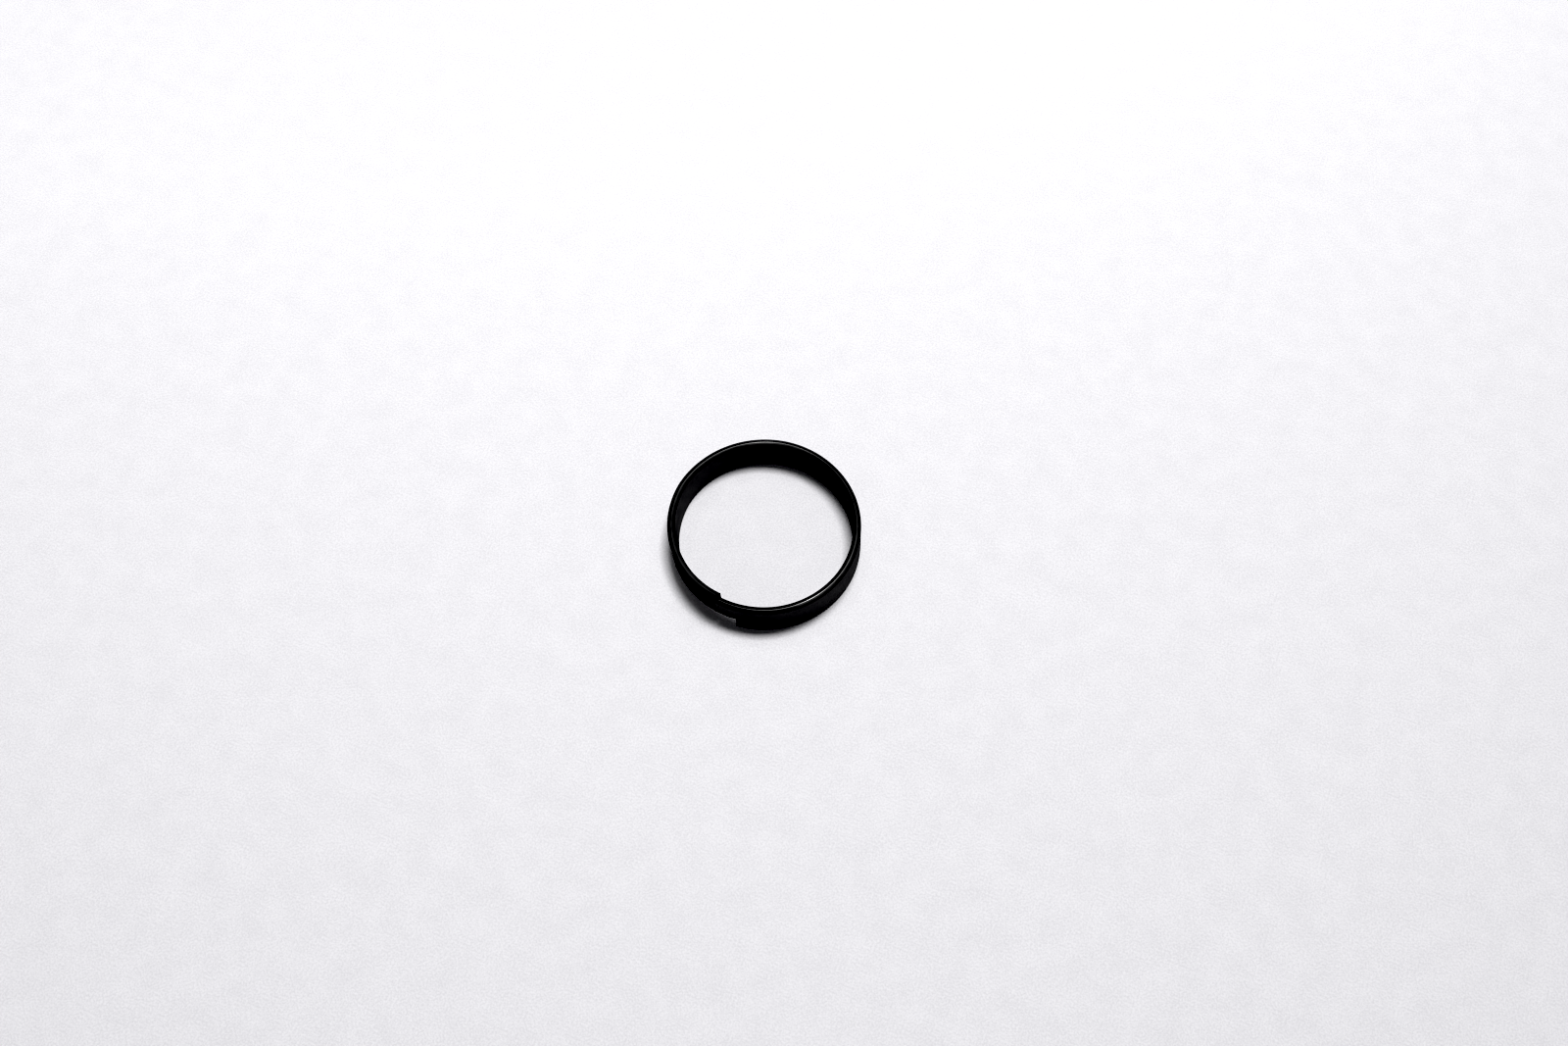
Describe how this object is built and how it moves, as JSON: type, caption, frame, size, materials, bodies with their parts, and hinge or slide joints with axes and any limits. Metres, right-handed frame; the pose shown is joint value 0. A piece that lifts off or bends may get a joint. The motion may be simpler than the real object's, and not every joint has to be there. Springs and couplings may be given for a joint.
{
  "type": "step-cut guide ring",
  "caption": "Split guide ring: a thin black plastic bearing strip bent into one turn, with rounded edges and a step-cut lap joint whose tongues overlap.",
  "frame": {"origin": "ring axis, in the plane of the lower rim that the ring lies on", "axes": "+Z along the ring axis, towards the upper rim; the lap joint faces -Y; the middle of the back section is on +Y"},
  "size_m": [0.0667, 0.0665, 0.0177],
  "materials": {
    "black_plastic": "satin black filled bearing plastic, moulded, with polished rim edges"
  },
  "bodies": {
    "back": {"band_back": "black_plastic"},
    "right_rear": {"band_right_rear": "black_plastic"},
    "right_upper_side": {"band_right_upper_side": "black_plastic"},
    "right_lower_side": {"band_right_lower_side": "black_plastic"},
    "right_front": {"band_right_front": "black_plastic"},
    "right_end_upper_tongue": {"band_right_end_upper_tongue": "black_plastic"},
    "left_rear": {"band_left_rear": "black_plastic"},
    "left_upper_side": {"band_left_upper_side": "black_plastic"},
    "left_side": {"band_left_side": "black_plastic"},
    "left_lower_side": {"band_left_lower_side": "black_plastic"},
    "left_front": {"band_left_front": "black_plastic"},
    "left_end_lower_tongue": {"band_left_end_lower_tongue": "black_plastic"}
  },
  "joints": [
    {"name": "ring_opening", "type": "hinge", "parent": "back", "child": "right_rear", "pos_m": [0.00825, 0.03079, 0.0075], "axis": [0, 0, 1], "range_deg": [0, 4], "stiffness_Nm_per_rad": 0.01},
    {"name": "flex_right_upper_side", "type": "hinge", "parent": "right_rear", "child": "right_upper_side", "pos_m": [0.02254, 0.02254, 0.0075], "axis": [0, 0, 1], "range_deg": [0, 3.48], "stiffness_Nm_per_rad": 0.01},
    {"name": "flex_right_lower_side", "type": "hinge", "parent": "right_upper_side", "child": "right_lower_side", "pos_m": [0.03079, 0.00825, 0.0075], "axis": [0, 0, 1], "range_deg": [0, 2.57], "stiffness_Nm_per_rad": 0.01},
    {"name": "flex_right_front", "type": "hinge", "parent": "right_lower_side", "child": "right_front", "pos_m": [0.03079, -0.00825, 0.0075], "axis": [0, 0, 1], "range_deg": [0, 1.52], "stiffness_Nm_per_rad": 0.01},
    {"name": "flex_right_end_upper_tongue", "type": "hinge", "parent": "right_front", "child": "right_end_upper_tongue", "pos_m": [0.02049, -0.02442, 0.0075], "axis": [0, 0, 1], "range_deg": [0, 0.486], "stiffness_Nm_per_rad": 0.01},
    {"name": "flex_left_rear", "type": "hinge", "parent": "back", "child": "left_rear", "pos_m": [-0.00825, 0.03079, 0.0075], "axis": [0, 0, -1], "range_deg": [0, 4.01], "stiffness_Nm_per_rad": 0.01},
    {"name": "flex_left_upper_side", "type": "hinge", "parent": "left_rear", "child": "left_upper_side", "pos_m": [-0.02049, 0.02442, 0.0075], "axis": [0, 0, -1], "range_deg": [0, 3.6], "stiffness_Nm_per_rad": 0.01},
    {"name": "flex_left_side", "type": "hinge", "parent": "left_upper_side", "child": "left_side", "pos_m": [-0.02889, 0.01347, 0.0075], "axis": [0, 0, -1], "range_deg": [0, 2.9], "stiffness_Nm_per_rad": 0.01},
    {"name": "left_end_twist_lift", "type": "hinge", "parent": "left_side", "child": "left_lower_side", "pos_m": [-0.03173, 0, 0.00755], "axis": [0, -1, 0], "range_deg": [-3.6, 0.2], "stiffness_Nm_per_rad": 0.03},
    {"name": "twist_left_front", "type": "hinge", "parent": "left_lower_side", "child": "left_front", "pos_m": [-0.02779, -0.01416, 0.00788], "axis": [0.454, -0.891, 0], "range_deg": [-3.61, 0.21], "stiffness_Nm_per_rad": 0.03},
    {"name": "left_end_inset", "type": "hinge", "parent": "left_front", "child": "left_end_lower_tongue", "pos_m": [-0.01775, -0.02535, 0.00872], "axis": [0, 0, -1], "range_deg": [-0.3, 2], "stiffness_Nm_per_rad": 0.01}
  ],
  "couplings": [
    {"joint": "flex_right_upper_side", "follows": "ring_opening", "ratio": 0.8683},
    {"joint": "flex_right_lower_side", "follows": "ring_opening", "ratio": 0.6403},
    {"joint": "flex_right_front", "follows": "ring_opening", "ratio": 0.377},
    {"joint": "flex_right_end_upper_tongue", "follows": "ring_opening", "ratio": 0.119},
    {"joint": "flex_left_rear", "follows": "ring_opening", "ratio": 1},
    {"joint": "flex_left_upper_side", "follows": "ring_opening", "ratio": 0.8983},
    {"joint": "flex_left_side", "follows": "ring_opening", "ratio": 0.7236},
    {"joint": "twist_left_front", "follows": "left_end_twist_lift", "ratio": 1}
  ]
}
